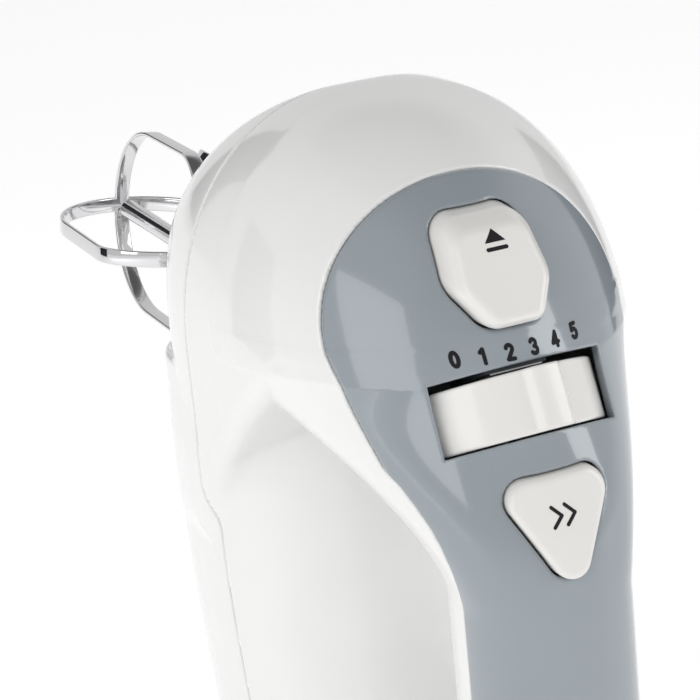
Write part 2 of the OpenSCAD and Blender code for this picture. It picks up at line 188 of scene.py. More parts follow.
def rounded_outline(corners, radii, steps=8):
    """The outline through corners with each one rounded to its own radius."""
    pts = [np.array(c, float) for c in corners]
    out = []
    for k, (p, r) in enumerate(zip(pts, radii)):
        to_a = pts[k - 1] - p
        to_b = pts[(k + 1) % len(pts)] - p
        to_a /= np.linalg.norm(to_a)
        to_b /= np.linalg.norm(to_b)
        half = math.acos(to_a @ to_b) / 2
        middle = to_a + to_b
        centre = p + middle / np.linalg.norm(middle) * r / math.sin(half)
        start = math.atan2(-middle[1], -middle[0])
        span = math.pi / 2 - half
        for j in range(-steps, steps + 1):
            angle = start + span * j / steps
            out.append(centre + r * np.array([math.cos(angle), math.sin(angle)]))
    return out


# ---------------------------------------------------------------- outlines of the housing
def top_curve():
    t = np.linspace(0, 1, 1500)[:, None]
    a = np.array([GRIP_TOP_Y, GRIP_BEND_Z])
    b = np.array([GRIP_TOP_Y, GRIP_BEND_Z + 37])
    c = np.array([NOSE_Y - 48, BODY_LEN])
    d = np.array([NOSE_Y, BODY_LEN])
    return (1 - t) ** 3 * a + 3 * (1 - t) ** 2 * t * b + 3 * (1 - t) * t * t * c + t ** 3 * d


TOP_LINE = top_curve()


def top_y(z):
    curve = np.interp(z, TOP_LINE[:, 1], TOP_LINE[:, 0])
    end = GRIP_TOP_Y + 6 * np.clip((GRIP_END_Z + 12 - z) / 12, 0, 1) ** 2
    return np.where(z <= GRIP_BEND_Z, end, curve)


def panel_y(z):
    """Depth of the panel's middle line at one height."""
    return float(top_y(np.array([z]))[0])


def hood_w(z):
    u = np.clip((z - SHOULDER_Z) / (BODY_LEN - SHOULDER_Z), 0, 0.9999)
    return HOOD_HALF_W * (1 - u ** NOSE_POWER) ** (1 / NOSE_POWER)


def hood_under_y(z):
    u = np.clip((z - UNDER_TURN_Z) / (BODY_LEN - UNDER_TURN_Z), 0, 0.9999)
    fall = (1 - u ** HOOD_UNDER_POWER) ** (1 / HOOD_UNDER_POWER)
    return NOSE_Y + (UNDER_Y - NOSE_Y) * fall


def hood_mid_y(z):
    return mix(NOSE_Y, 4.0, hood_w(z) / HOOD_HALF_W)


def grip_w(z):
    rise = np.clip((z - FLARE_Z) / (BLEND_Z - FLARE_Z), 0, 1) ** 1.6
    return GRIP_HALF_W + (HOOD_HALF_W - GRIP_HALF_W) * rise


def grip_low_y(z):
    return GRIP_UNDER_Y + 38 * np.clip((z - 100) / (BLEND_Z - 100), 0, 1) ** 1.3


def motor_w(z):
    return mix(40.0, 44.5, smooth_step(0, 95, z))


def cover_w(z):
    rise = np.clip((z - COVER_WIDE_Z) / (COVER_TOP_Z - COVER_WIDE_Z), 0, 1)
    wide = COVER_HALF_W * np.sqrt(np.maximum(1 - rise ** 2, 0))
    taper = np.clip((COVER_WIDE_Z - z) / (COVER_WIDE_Z - FLARE_Z), 0, 1) ** 1.2
    narrow = GRIP_HALF_W + (COVER_HALF_W - GRIP_HALF_W) * (1 - taper)
    return np.where(z > COVER_WIDE_Z, wide, narrow)


def ring(x, y, w, height, mid, power):
    """Superellipse radius of a point in its section, 1 on the outline, and the radius's slope."""
    dx, dy = np.abs(x), np.abs(y - mid)
    a = (dx / w) ** power
    b = (dy / height) ** power
    total = np.maximum(a + b, 1e-9)
    radius = total ** (1 / power)
    slope = radius / total * np.hypot(a / np.maximum(dx, 1e-6), b / np.maximum(dy, 1e-6))
    return radius, slope


def section(x, y, w, top, under, mid, power_top, power_under):
    """Field of one section: half-width w, from top to under, widest at mid."""
    above = y < mid
    height = np.maximum(np.where(above, mid - top, under - mid), 0.05)
    radius, slope = ring(x, y, w, height, mid, np.where(above, power_top, power_under))
    return radius - 1, slope


def hood_shape(p):
    """One smooth body up to and round its nose: radius and height share one circle-like sum."""
    x, y, z = p.T
    zc = np.minimum(z, BODY_LEN - 0.15)
    shrink = hood_w(zc) / HOOD_HALF_W
    mid = hood_mid_y(zc)
    above = y < mid
    height = np.where(above, mid - top_y(zc), hood_under_y(zc) - mid) / shrink
    radius, slope = ring(x, y, HOOD_HALF_W, height, mid, np.where(above, 1.8, 3.0))
    u = np.maximum((z - SHOULDER_Z) / (BODY_LEN - SHOULDER_Z), 0)
    both = (radius ** NOSE_POWER + u ** NOSE_POWER) ** (1 / NOSE_POWER)
    return both - 1, slope * (radius / np.maximum(both, 1e-6)) ** 1.2


def grip_shape(p):
    x, y, z = p.T
    zc = np.clip(z, GRIP_END_Z, BLEND_Z)
    top = top_y(np.clip(z, GRIP_END_Z, BODY_LEN - 1))
    low = grip_low_y(zc)
    f = smooth_step(100, BLEND_Z, zc)
    wide = grip_w(zc) * hood_w(np.clip(z, GRIP_END_Z, 160)) / HOOD_HALF_W
    return section(x, y, wide, top, low, mix((top + low) / 2, low - 1, f), mix(2.6, 1.8, f), 2.6)


def post_shape(p):
    x, y, z = p.T
    front = mix(-40.0, -56.0, smooth_step(HEEL_T, 34, z))
    return section(x, y, POST_HALF_W, front, 30.0, -10.0, 4.0, 4.0)


def motor_shape(p):
    x, y, z = p.T
    return section(x, y, motor_w(z), DECK_Y, UNDER_Y, MOTOR_Y, 3.0, 3.0)


hood_distance = as_distance(hood_shape)
grip_distance = as_distance(grip_shape)
post_distance = as_distance(post_shape)
motor_distance = as_distance(motor_shape)
FAR = 30.0


def only(field, p, near):
    """Evaluates a limb's field where it can matter, and calls it far away elsewhere."""
    out = np.full(len(p), FAR)
    if near.any():
        out[near] = field(p[near])
    return out


def hood_limb(p):
    y, z = p[:, 1], p[:, 2]
    rim = np.maximum(RIM_Z - z, np.minimum((RIM_Z + 28 - y - z) / math.sqrt(2), BLEND_Z - z))
    return smooth_max(hood_distance(p), rim, 5.0)


def grip_limb(p):
    z = p[:, 2]
    return smooth_max(smooth_max(grip_distance(p), GRIP_END_Z - z, 5.0), z - 152, 2.0)


def post_limb(p):
    z = p[:, 2]
    return smooth_max(smooth_max(post_distance(p), z - 38, 4.0), HEEL_T - z, 2.0)


def motor_limb(p):
    z = p[:, 2]
    return smooth_max(smooth_max(motor_distance(p), HEEL_T - z, 6.0), z - 132, 2.0)


def housing(p):
    """The whole outer form, negative inside."""
    y, z = p[:, 1], p[:, 2]
    body = smooth_min(only(motor_limb, p, (y > -22) & (z < 150)), only(post_limb, p, z < 56), 7.0)
    body = smooth_min(body, only(grip_limb, p, (y < 24) & (z > 14) & (z < 170)), 8.0)
    soft = 0.3 + 5.7 * smooth_step(-34, -14, y) * (1 - smooth_step(112, 134, z))
    return smooth_min(body, only(hood_limb, p, z > 80), soft)


def cover_zone(p, outer):
    """Negative where the handle cover sits; outer, the housing's field, leans the cut square."""
    x, y, z = p.T
    rise = np.maximum(z - COVER_WIDE_Z, 0) / (COVER_TOP_Z - COVER_WIDE_Z)
    nose = (np.hypot(x / COVER_HALF_W, rise) - 1) * 32
    side = np.where(z > COVER_WIDE_Z, nose, np.abs(x) - cover_w(z)) - 0.8 * outer
    side = side - 12 * smooth_step(113, 104, z)
    flank = np.interp(z, *EDGE_LINE)
    return np.maximum(np.maximum(side, (y - flank) * 0.8), GRIP_END_Z + 6 - z)


# ---------------------------------------------------------------- meshing
CELL_CORNERS = np.array([[i, j, k] for i in (0, 1) for j in (0, 1) for k in (0, 1)])
CELL_EDGES = [(a, b) for a in range(8) for b in range(a + 1, 8)
              if np.abs(CELL_CORNERS[a] - CELL_CORNERS[b]).sum() == 1]
BLOCK = 4  # cells along the side of a block
SHARP_BEND = 0.35  # a change of slope along a cell's edges that marks a sharp edge


def snap_edges(field, points, crossed, corner, step):
    """Vertices and normals of cells that hold a sharp edge, by least squares on their planes."""
    cell, edge = np.nonzero(crossed)
    at = points[cell, edge]
    g = gradient(field, at, 0.02)
    size = np.maximum(np.linalg.norm(g, axis=1), 1e-6)
    n = g / size[:, None]
    at = at - (evaluate(field, at) / size)[:, None] * n
    middle = np.zeros((len(crossed), 3))
    np.add.at(middle, cell, at)
    middle /= crossed.sum(1)[:, None]
    soft = 0.02
    matrix = np.tile(np.eye(3) * soft, (len(crossed), 1, 1))
    right = middle * soft
    np.add.at(matrix, cell, n[:, :, None] * n[:, None, :])
    np.add.at(right, cell, n * (n * at).sum(1)[:, None])
    best = np.linalg.solve(matrix, right[:, :, None])[:, :, 0]
    best = np.clip(best, corner - 0.3 * step, corner + 1.3 * step)
    for _ in range(2):
        off = evaluate(field, best)
        g = gradient(field, best, 0.02)
        share = np.where(np.abs(off) > 0.01, off, 0) / np.maximum((g ** 2).sum(1), 0.05)
        best = best - share[:, None] * g
    mean = np.zeros((len(crossed), 3))
    np.add.at(mean, cell, n)
    return best, mean


def sample(field, low, high, step):
    """The field on the grid points of every block near the surface, and those blocks' cells."""
    count = np.ceil((np.array(high, float) - low) / (step * BLOCK)).astype(int)
    blocks = np.stack(np.meshgrid(*[np.arange(n) for n in count], indexing="ij"), -1)
    blocks = blocks.reshape(-1, 3)
    near = np.abs(evaluate(field, low + (blocks + 0.5) * step * BLOCK)) < step * BLOCK * 1.35
    blocks = blocks[near]
    dims = count * BLOCK + 1
    local = np.stack(np.meshgrid(*[np.arange(BLOCK + 1)] * 3, indexing="ij"), -1).reshape(-1, 3)
    grid = (blocks[:, None, :] * BLOCK + local).reshape(-1, 3)
    ijk = np.stack(np.unravel_index(np.unique(np.ravel_multi_index(grid.T, dims)), dims), 1)
    values = np.full(dims, np.nan, np.float32)
    values[tuple(ijk.T)] = evaluate(field, low + ijk * step)
    cells = (blocks[:, None, :] * BLOCK + local[(local < BLOCK).all(1)]).reshape(-1, 3)
    return values, cells


def crossings(values, cells, low, step):
    """The cells on the surface, where it crosses their edges, and which cells hold a sharp edge."""
    v = np.stack([values[tuple((cells + c).T)] for c in CELL_CORNERS], 1).astype(float)
    mixed = (v < 0).any(1) & (v >= 0).any(1)
    cells, v = cells[mixed], v[mixed]
    points = np.zeros((len(cells), 12, 3))
    crossed = np.zeros((len(cells), 12), bool)
    for e, (a, b) in enumerate(CELL_EDGES):
        cut = (v[:, a] < 0) != (v[:, b] < 0)
        crossed[:, e] = cut
        t = np.where(cut, v[:, a] / np.where(cut, v[:, a] - v[:, b], 1), 0)
        along = t[:, None] * (CELL_CORNERS[b] - CELL_CORNERS[a])
        points[:, e] = low + (cells + CELL_CORNERS[a] + along) * step
    slopes = np.stack([v[:, b] - v[:, a] for a, b in CELL_EDGES], 1)
    axes = np.array([np.argmax(CELL_CORNERS[b] - CELL_CORNERS[a]) for a, b in CELL_EDGES])
    bend = np.max([np.ptp(slopes[:, axes == k], axis=1) for k in range(3)], axis=0)
    return cells, points, crossed, bend > SHARP_BEND * step


def join_cells(values, cells):
    """A four-sided face round every grid edge that the surface crosses."""
    index = np.full(values.shape, -1, np.int64)
    index[tuple(cells.T)] = np.arange(len(cells))
    unit = np.eye(3, dtype=int)
    quads = []
    for axis in range(3):
        u, w = unit[(axis + 1) % 3], unit[(axis + 2) % 3]
        inner = (cells @ u > 0) & (cells @ w > 0) & (cells[:, axis] + 1 < values.shape[axis])
        start = cells[inner]
        a = values[tuple(start.T)]
        b = values[tuple((start + unit[axis]).T)]
        cut = (a < 0) != (b < 0)
        start, flip = start[cut], a[cut] < 0
        face = np.stack([index[tuple((start - u - w).T)], index[tuple((start - w).T)],
                         index[tuple(start.T)], index[tuple((start - u).T)]], 1)
        face = np.where(flip[:, None], face, face[:, ::-1])
        quads.append(face[(face >= 0).all(1)])
    return np.concatenate(quads)


def net(field, low, high, step, name):
    """Dual mesh of a field: vertices on the exact surface or its sharp edges, with true normals."""
    low = np.array(low, float)
    values, cells = sample(field, low, high, step)
    cells, points, crossed, sharp = crossings(values, cells, low, step)
    verts = (points * crossed[:, :, None]).sum(1) / crossed.sum(1)[:, None]
    for _ in range(3):
        g = gradient(field, verts)
        move = -evaluate(field, verts)[:, None] * g / np.maximum((g ** 2).sum(1), 0.05)[:, None]
        length = np.linalg.norm(move, axis=1)
        verts += move * np.minimum(1, 0.4 * step / np.maximum(length, 1e-9))[:, None]
    normals = gradient(field, verts)
    if sharp.any():
        verts[sharp], normals[sharp] = snap_edges(
            field, points[sharp], crossed[sharp], low + cells[sharp] * step, step)
    normals /= np.maximum(np.linalg.norm(normals, axis=1), 1e-9)[:, None]
    return piece_from(verts, join_cells(values, cells), name, normals)


def piece_from(verts, quads, name, normals=None):
    """A Blender object from arrays of points in mm and of four-sided faces."""
    mesh = bpy.data.meshes.new(name)
    mesh.vertices.add(len(verts))
    mesh.vertices.foreach_set("co", (np.asarray(verts) * MM).astype(np.float32).ravel())
    mesh.loops.add(quads.size)
    mesh.loops.foreach_set("vertex_index", quads.astype(np.int32).ravel())
    mesh.polygons.add(len(quads))
    starts = np.arange(0, quads.size, quads.shape[1], dtype=np.int32)
    mesh.polygons.foreach_set("loop_start", starts)
    mesh.polygons.foreach_set("use_smooth", np.ones(len(quads), bool))
    mesh.update(calc_edges=True)
    mesh.validate()
    if normals is not None:
        mesh.normals_split_custom_set_from_vertices(normals.astype(np.float32).tolist())
    piece = bpy.data.objects.new(name, mesh)
    bpy.context.scene.collection.objects.link(piece)
    return piece


def finish_piece(piece, body, slot, *nodes, material=None):
    """Gives a piece its material, its body, its slot and the CAD nodes that it stands in for."""
    piece.data.materials.append(material or MATERIALS[slot])
    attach(piece, body)
    if nodes:
        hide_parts(*nodes)
    return piece


def sheet(name, half_w, half_h):
    """A flat card in the scene, facing up at the origin."""
    mesh = bpy.data.meshes.new(name)
    mesh.from_pydata([(-half_w, -half_h, 0), (half_w, -half_h, 0),
                      (half_w, half_h, 0), (-half_w, half_h, 0)], [], [(0, 1, 2, 3)])
    card = bpy.data.objects.new(name, mesh)
    bpy.context.scene.collection.objects.link(card)
    return card


# ---------------------------------------------------------------- materials
def new_material(name, color, roughness, metallic=0.0, coat=0.0, specular=0.5):
    mat = bpy.data.materials.new(name)
    mat.use_nodes = True
    shader = mat.node_tree.nodes["Principled BSDF"]
    shader.inputs["Base Color"].default_value = (*color, 1)
    shader.inputs["Roughness"].default_value = roughness
    shader.inputs["Metallic"].default_value = metallic
    shader.inputs["Coat Weight"].default_value = coat
    shader.inputs["Coat Roughness"].default_value = 0.04
    shader.inputs["Specular IOR Level"].default_value = specular
    return mat


def add_noise(mat, scale, detail=3.0):
    nodes = mat.node_tree.nodes
    coords = nodes.new("ShaderNodeTexCoord")
    noise = nodes.new("ShaderNodeTexNoise")
    noise.inputs["Scale"].default_value = scale
    noise.inputs["Detail"].default_value = detail
    mat.node_tree.links.new(coords.outputs["Object"], noise.inputs["Vector"])
    return noise


def vary_color(mat, scale, dark, light):
    """Slight mottling of the base colour between two near tones."""
    nodes, links = mat.node_tree.nodes, mat.node_tree.links
    noise = add_noise(mat, scale)
    ramp = nodes.new("ShaderNodeValToRGB")
    ramp.color_ramp.elements[0].position = 0.35
    ramp.color_ramp.elements[0].color = (*dark, 1)
    ramp.color_ramp.elements[1].position = 0.65
    ramp.color_ramp.elements[1].color = (*light, 1)
    links.new(noise.outputs["Fac"], ramp.inputs["Fac"])
    links.new(ramp.outputs["Color"], nodes["Principled BSDF"].inputs["Base Color"])


def vary_roughness(mat, scale, low, high):
    nodes, links = mat.node_tree.nodes, mat.node_tree.links
    noise = add_noise(mat, scale, 5.0)
    span = nodes.new("ShaderNodeMapRange")
    span.inputs["To Min"].default_value = low
    span.inputs["To Max"].default_value = high
    links.new(noise.outputs["Fac"], span.inputs["Value"])
    links.new(span.outputs["Result"], nodes["Principled BSDF"].inputs["Roughness"])


def add_bump(mat, scale, strength, distance):
    nodes, links = mat.node_tree.nodes, mat.node_tree.links
    noise = add_noise(mat, scale, 2.0)
    bump = nodes.new("ShaderNodeBump")
    bump.inputs["Strength"].default_value = strength
    bump.inputs["Distance"].default_value = distance
    links.new(noise.outputs["Fac"], bump.inputs["Height"])
    links.new(bump.outputs["Normal"], nodes["Principled BSDF"].inputs["Normal"])


def moulded(name, tone, roughness, coat, spread=0.012, peel=0.02):
    """Moulded plastic: near-even colour, faint flow marks and a little orange peel."""
    mat = new_material(name, tone, roughness, coat=coat)
    dark = [max(0, c - spread) for c in tone]
    light = [min(1, c + spread) for c in tone]
    vary_color(mat, 22, dark, light)
    vary_roughness(mat, 60, roughness * 0.8, roughness * 1.2)
    add_bump(mat, 160, peel, 0.0002)
    return mat


def metal(name, tone, roughness, scratch=0.05):
    mat = new_material(name, tone, roughness, metallic=1.0)
    vary_roughness(mat, 140, roughness * 0.7, roughness * 1.5)
    add_bump(mat, 400, scratch, 0.0001)
    return mat


MATERIALS = {
    "white_shell": moulded("gloss_white", (0.77, 0.768, 0.762), 0.16, 0.6),
    "grey_cover": moulded("gloss_blue_grey", (0.262, 0.296, 0.322), 0.14, 0.7, spread=0.008),
    "white_control": moulded("control_white", (0.75, 0.738, 0.715), 0.24, 0.3),
    "black_rubber": moulded("heel_rubber", (0.02, 0.02, 0.022), 0.75, 0.0,
                            spread=0.004, peel=0.3),
    "grey_plastic": moulded("matte_grey", (0.10, 0.115, 0.13), 0.5, 0.0, peel=0.15),
    "dark_plastic": moulded("matte_dark", (0.015, 0.015, 0.017), 0.5, 0.0,
                            spread=0.004, peel=0.15),
    "white_nylon": moulded("nylon", (0.72, 0.71, 0.67), 0.4, 0.0, peel=0.08),
    "chrome": metal("chrome_plate", (0.70, 0.70, 0.71), 0.07, 0.02),
    "steel": metal("machined_steel", (0.50, 0.50, 0.52), 0.28),
    "brass": metal("turned_brass", (0.62, 0.42, 0.15), 0.25),
    "copper": metal("enamelled_copper", (0.55, 0.20, 0.07), 0.3),
    "board": moulded("solder_mask", (0.01, 0.10, 0.035), 0.35, 0.3, spread=0.004),
}
INK = new_material("print_ink", (0.01, 0.01, 0.012), 0.6, specular=0.2)
add_bump(INK, 500, 0.1, 0.0001)


def paint_cad_nodes():
    """Every CAD node that stays visible gets the material of its slot."""
    slots = {s["node"]: s["material_slot"] for s in frame["record"]["subparts"]}
    for node, obj in frame["nodes"].items():
        obj.data.materials.clear()
        obj.data.materials.append(MATERIALS[slots[node]])


# ---------------------------------------------------------------- shells
EJECT_OUTLINE = rounded_outline(
    [(-9.6, 10), (-11.4, -3), (-6.2, -11), (6.2, -11), (11.4, -3), (9.6, 10)],
    [5.5, 6, 4.5, 4.5, 6, 5.5])
TURBO_OUTLINE = rounded_outline([(-14, 10), (0, -15.8), (14, 10)], [4.5, 4.5, 4.5])


def dial_window(p):
    """The slot in the cover for the dial, in the panel's own slope."""
    x, y, z = p.T
    face = panel_y(DIAL_Z)
    along = (y - face) * math.sin(DIAL_TILT) + (z - DIAL_Z) * math.cos(DIAL_TILT)
    deep = (y - face) * math.cos(DIAL_TILT) - (z - DIAL_Z) * math.sin(DIAL_TILT)
    face_on = np.maximum(np.abs(x) - WINDOW_HALF_W, np.abs(along) - WINDOW_HALF_H)
    return np.maximum(face_on, np.abs(deep) - 18)


def walls(outer, proud=0.0):
    """A moulded wall under the outer form."""
    return np.maximum(outer - proud, -(outer + WALL))


def upper_field(p):
    outer = housing(p)
    body = smooth_max(walls(outer), p[:, 1] - (SEAM_Y - SEAM_GAP / 2), 0.5)
    gland = np.maximum(np.hypot(p[:, 0], p[:, 2] - GLAND_Z) - GLAND_HOLE_R, p[:, 1] + 30)
    return smooth_max(np.maximum(body, -gland), COVER_GAP - cover_zone(p, outer), 0.6)


def lower_field(p):
    x, y, z = p.T
    body = smooth_max(walls(housing(p)), SEAM_Y + SEAM_GAP / 2 - y, 0.5)
    for side in (-1, 1):
        hole = np.hypot(x - side * SPINDLE_X, z - SPINDLE_Z) - SPINDLE_HOLE_R
        body = smooth_max(body, -np.maximum(hole, 40 - y), 0.5)
        for k in range(VENT_COUNT):
            centre = (side * 15, UNDER_Y, VENT_FIRST_Z + VENT_PITCH * k)
            body = np.maximum(body, -box_field(p, centre, (9, 10, 1.5), 1.4))
    for across, height, seat in SCREWS:
        r = np.hypot(x - across, z - height)
        body = np.maximum(body, -np.maximum(r - SCREW_HEAD_HOLE_R, seat - y))
        body = np.maximum(body, -np.maximum(r - SCREW_HOLE_R, seat - SCREW_HOLE_LEN - y))
    return body


def cover_field(p):
    outer = housing(p)
    body = smooth_max(walls(outer, COVER_PROUD), cover_zone(p, outer), 0.9)
    body = smooth_max(body, -dial_window(p), 0.5)
    eject = polygon_field(p[:, 0], p[:, 2] - EJECT_Z, EJECT_OUTLINE) - BUTTON_GAP
    turbo = polygon_field(p[:, 0], p[:, 2] - TURBO_Z, TURBO_OUTLINE) - BUTTON_GAP
    return smooth_max(smooth_max(body, -eject, 0.7), -turbo, 0.7)


def make_shells(step):
    half_w, front, back, end = 49, -68, 68, 196
    finish_piece(net(upper_field, (-half_w, front, 0), (half_w, SEAM_Y + 2, end), step,
                     "upper_shell_form"),
                 "housing", "white_shell", "upper_shell", "heel_bridge")
    finish_piece(net(lower_field, (-half_w, SEAM_Y - 2, 0), (half_w, back, end), step,
                     "lower_shell_form"),
                 "housing", "white_shell", "lower_shell")
    finish_piece(net(cover_field, (-37, front, 32), (37, -6, 184), step * 0.75,
                     "handle_cover_form"),
                 "housing", "grey_cover", "handle_cover")


# ---------------------------------------------------------------- controls
def tilted(p, z0, proud, tilt):
    """Height above a plane laid over the panel at z0, raised by proud."""
    y0 = panel_y(z0) - proud
    return -(p[:, 1] - y0) * math.cos(tilt) + (p[:, 2] - z0) * math.sin(tilt)


def eject_field(p):
    x = p[:, 0]
    edge = polygon_field(x, p[:, 2] - EJECT_Z, EJECT_OUTLINE)
    face = tilted(p, EJECT_Z, EJECT_RISE, EJECT_TILT) + 0.0035 * x ** 2
    body = smooth_max(edge + 0.07 * (face + 6), face, 1.0)
    body = smooth_max(body, (edge + 0.8 * face) * 0.78 + 1.75, 0.8)
    return smooth_max(body, p[:, 1] + 22, 0.6)


def turbo_field(p):
    edge = polygon_field(p[:, 0], p[:, 2] - TURBO_Z, TURBO_OUTLINE)
    face = tilted(p, TURBO_Z, TURBO_RISE, TURBO_TILT) + 0.006 * p[:, 0] ** 2
    return smooth_max(smooth_max(edge, face, 1.6), p[:, 1] + 52.6, 0.4)


def dial_place(p):
    """Row-frame points in the dial's frame: across, outward from the axle, along the axle."""
    y0 = panel_y(DIAL_Z) - 1.2 + DIAL_R * math.cos(DIAL_TILT)
    z0 = DIAL_Z - DIAL_R * math.sin(DIAL_TILT)
    out = -(p[:, 1] - y0) * math.cos(DIAL_TILT) + (p[:, 2] - z0) * math.sin(DIAL_TILT)
    along = (p[:, 1] - y0) * math.sin(DIAL_TILT) + (p[:, 2] - z0) * math.cos(DIAL_TILT)
    return p[:, 0], out, along


RIDGE_TURN = 8.0
RIDGE_RISE = 1.7
DIAL_FROM, DIAL_TO = -83.0, 97.0


def dial_field(p):
    across, out, along = dial_place(p)
    r = np.hypot(across, out)
    turn = np.degrees(np.arctan2(across, out))
    from_ridge = turn - RIDGE_TURN
    ridge = RIDGE_RISE * (smooth_step(-14, -6, from_ridge) - smooth_step(6, 13, from_ridge))
    rim = np.maximum(r - DIAL_R - ridge, DIAL_R - 2.4 - r)
    rim = smooth_max(rim, np.abs(along) - 6.6, 0.7)
    web = np.maximum(r - DIAL_R + 1, np.abs(along) - 1.5)
    middle = (DIAL_FROM + DIAL_TO) / 2
    sector = (np.abs(turn - middle) - (DIAL_TO - DIAL_FROM) / 2) * np.radians(1) * np.maximum(r, 4)
    body = smooth_max(np.minimum(rim, web), sector, 0.5)
    hub = np.maximum(r - 4, np.abs(along) - 6)
    return np.maximum(np.minimum(body, hub), 1.55 - r)


def make_controls(step):
    finish_piece(net(eject_field, (-15, -60, 150), (15, -20, 178), step * 0.5,
                     "eject_button_form"),
                 "eject", "white_control", "eject_button")
    finish_piece(net(turbo_field, (-14, -68, 100), (14, -51, 128), step * 0.5,
                     "turbo_button_form"),
                 "turbo", "white_control", "turbo_button")
    finish_piece(net(dial_field, (-25, -64, 112), (25, -28, 150), step * 0.55,
                     "speed_dial_form"),
                 "dial", "white_control", "speed_dial")


# ---------------------------------------------------------------- printed marks
def arc(cx, cy, rx, ry, start, end, steps=14):
    return [(cx + rx * math.cos(math.radians(a)), cy + ry * math.sin(math.radians(a)))
            for a in np.linspace(start, end, steps)]


# the strokes of the digits 0 to 5, each about 3.4 high round its own centre
DIGITS = [
    [arc(0, 0, 0.86, 1.7, 0, 360, 30)],
    [[(-0.6, 1.0), (0.2, 1.7), (0.2, -1.7)]],
    [arc(0, 0.85, 0.85, 0.85, 165, -35) + [(-0.85, -1.7), (0.95, -1.7)]],
    [arc(-0.05, 0.85, 0.8, 0.85, 150, -80) + arc(-0.05, -0.83, 0.9, 0.87, 80, -150)],
    [[(0.45, -1.7), (0.45, 1.7), (-0.95, -0.75), (1.0, -0.75)]],
    [[(0.8, 1.7), (-0.6, 1.7), (-0.72, 0.25)] + arc(-0.02, -0.6, 0.88, 1.1, 128, -150)],
]


DIGIT_SCALE = 0.76
DIGITS_Z = 149.2
FIRST_DIGIT_X = -13.6
DIGIT_PITCH = 5.45
FILM_OVER, FILM_UNDER = 0.08, 0.34


def stroke_field(x, y, strokes, half):
    """Distance to a set of open strokes of the given half width."""
    best = np.full(len(x), 1e9)
    for path in strokes:
        for (ax, ay), (bx, by) in zip(path, path[1:]):
            ex, ey = bx - ax, by - ay
            t = np.clip(((x - ax) * ex + (y - ay) * ey) / max(ex * ex + ey * ey, 1e-9), 0, 1)
            best = np.minimum(best, np.hypot(x - ax - t * ex, y - ay - t * ey))
    return best - half


def film(mark, face):
    """A printed mark: the part of a flat figure that lies in a thin film over a face."""
    return np.maximum(mark, np.maximum(face - FILM_OVER, -FILM_UNDER - face))


def digits_field(p):
    x, z = p[:, 0] / DIGIT_SCALE, (p[:, 2] - DIGITS_Z) / DIGIT_SCALE
    mark = np.full(len(p), 1e9)
    for k, strokes in enumerate(DIGITS):
        shift = (-FIRST_DIGIT_X - DIGIT_PITCH * k) / DIGIT_SCALE
        mark = np.minimum(mark, stroke_field(x + shift, z, strokes, 0.5))
    mark *= DIGIT_SCALE
    near = mark < 1.5
    face = np.full(len(p), 3.0)
    if near.any():
        face[near] = housing(p[near]) - COVER_PROUD
    return film(mark, face)


def eject_mark_field(p):
    x, z = p[:, 0], p[:, 2] - EJECT_Z - 5.4
    mark = np.minimum(polygon_field(x, z, [(-2.3, -0.3), (2.3, -0.3), (0, 2.1)]),
                      stroke_field(x, z, [[(-2.1, -1.5), (2.1, -1.5)]], 0.34))
    return film(mark, eject_field(p))


def turbo_mark_field(p):
    x, z = p[:, 0], p[:, 2] - TURBO_Z - 2.2
    chevrons = [[(a, 2.0), (a + 2.0, 0), (a, -2.0)] for a in (-2.7, 0.3)]
    return film(stroke_field(x, z, chevrons, 0.36), turbo_field(p))


def make_marks(step):
    finish_piece(net(digits_field, (-16, -52, 146), (16, -42, 152), step * 0.2, "dial_digits"),
                 "housing", "dark_plastic", material=INK)
    finish_piece(net(eject_mark_field, (-4, -50, 166), (4, -36, 174), step * 0.2, "eject_symbol"),
                 "eject", "dark_plastic", material=INK)
    finish_piece(net(turbo_mark_field, (-5, -68, 113), (5, -58, 122), step * 0.2, "turbo_symbol"),
                 "turbo", "dark_plastic", material=INK)


# ---------------------------------------------------------------- beaters and hardware
LOOP_START_Y = 83.5
STRIP_W, STRIP_T = 4.0, 1.0
TURN_LEFT, TURN_RIGHT = math.radians(8), math.radians(37)
SHAFT_END = UNDER_Y + BEATER_REACH - 6
# turned parts: radius and depth of each corner of the outline
SHAFT = [(0.2, 38.3), (2.3, 38.3), (3, 39.2), (3, 44), (2.5, 44.5), (2.5, 46), (3, 46.5),
         (3, 59.7), (2.4, 60.3), (2.4, SHAFT_END - 0.6), (1.9, SHAFT_END), (0.2, SHAFT_END)]
COLLAR = [(2.45, 70), (4.5, 70), (5, 70.5), (5, 72.4), (4.5, 72.9), (3.9, 73.2), (3.6, 73.8),
          (3.6, 81.6), (3.1, 82.6), (2.45, 82.6)]
SPINDLE = [(3.4, 20.5), (3.9, 20), (6, 20), (6.5, 20.5), (6.5, 38.2), (7.7, 38.2), (8, 38.5),
           (8, 40.9), (7.7, 41.2), (6.5, 41.2), (6.5, 68.3), (5.9, 69), (4.1, 69), (3.4, 68.2)]


def loop_line():
    """Half a loop's middle line from shaft to tip: quarter ellipse, straight run, longer one."""
    a, b = np.linspace(0, np.pi / 2, 30), np.linspace(0, np.pi / 2, 40)
    r = np.concatenate([np.sin(a), np.cos(b)])
    t = np.concatenate([0.22 * (1 - np.cos(a)), 0.6 + 0.4 * np.sin(b)])
    return np.stack([(CAGE_R - STRIP_T / 2) * r,
                     LOOP_START_Y + (UNDER_Y + BEATER_REACH - LOOP_START_Y - STRIP_T / 2) * t], 1)


def even(path, count):
    """The path again, with its points evenly spread along its length."""
    run = np.concatenate([[0], np.cumsum(np.linalg.norm(np.diff(path, axis=0), axis=1))])
    at = np.linspace(0, run[-1], count)
    return np.stack([np.interp(at, run, path[:, k]) for k in range(path.shape[1])], 1)


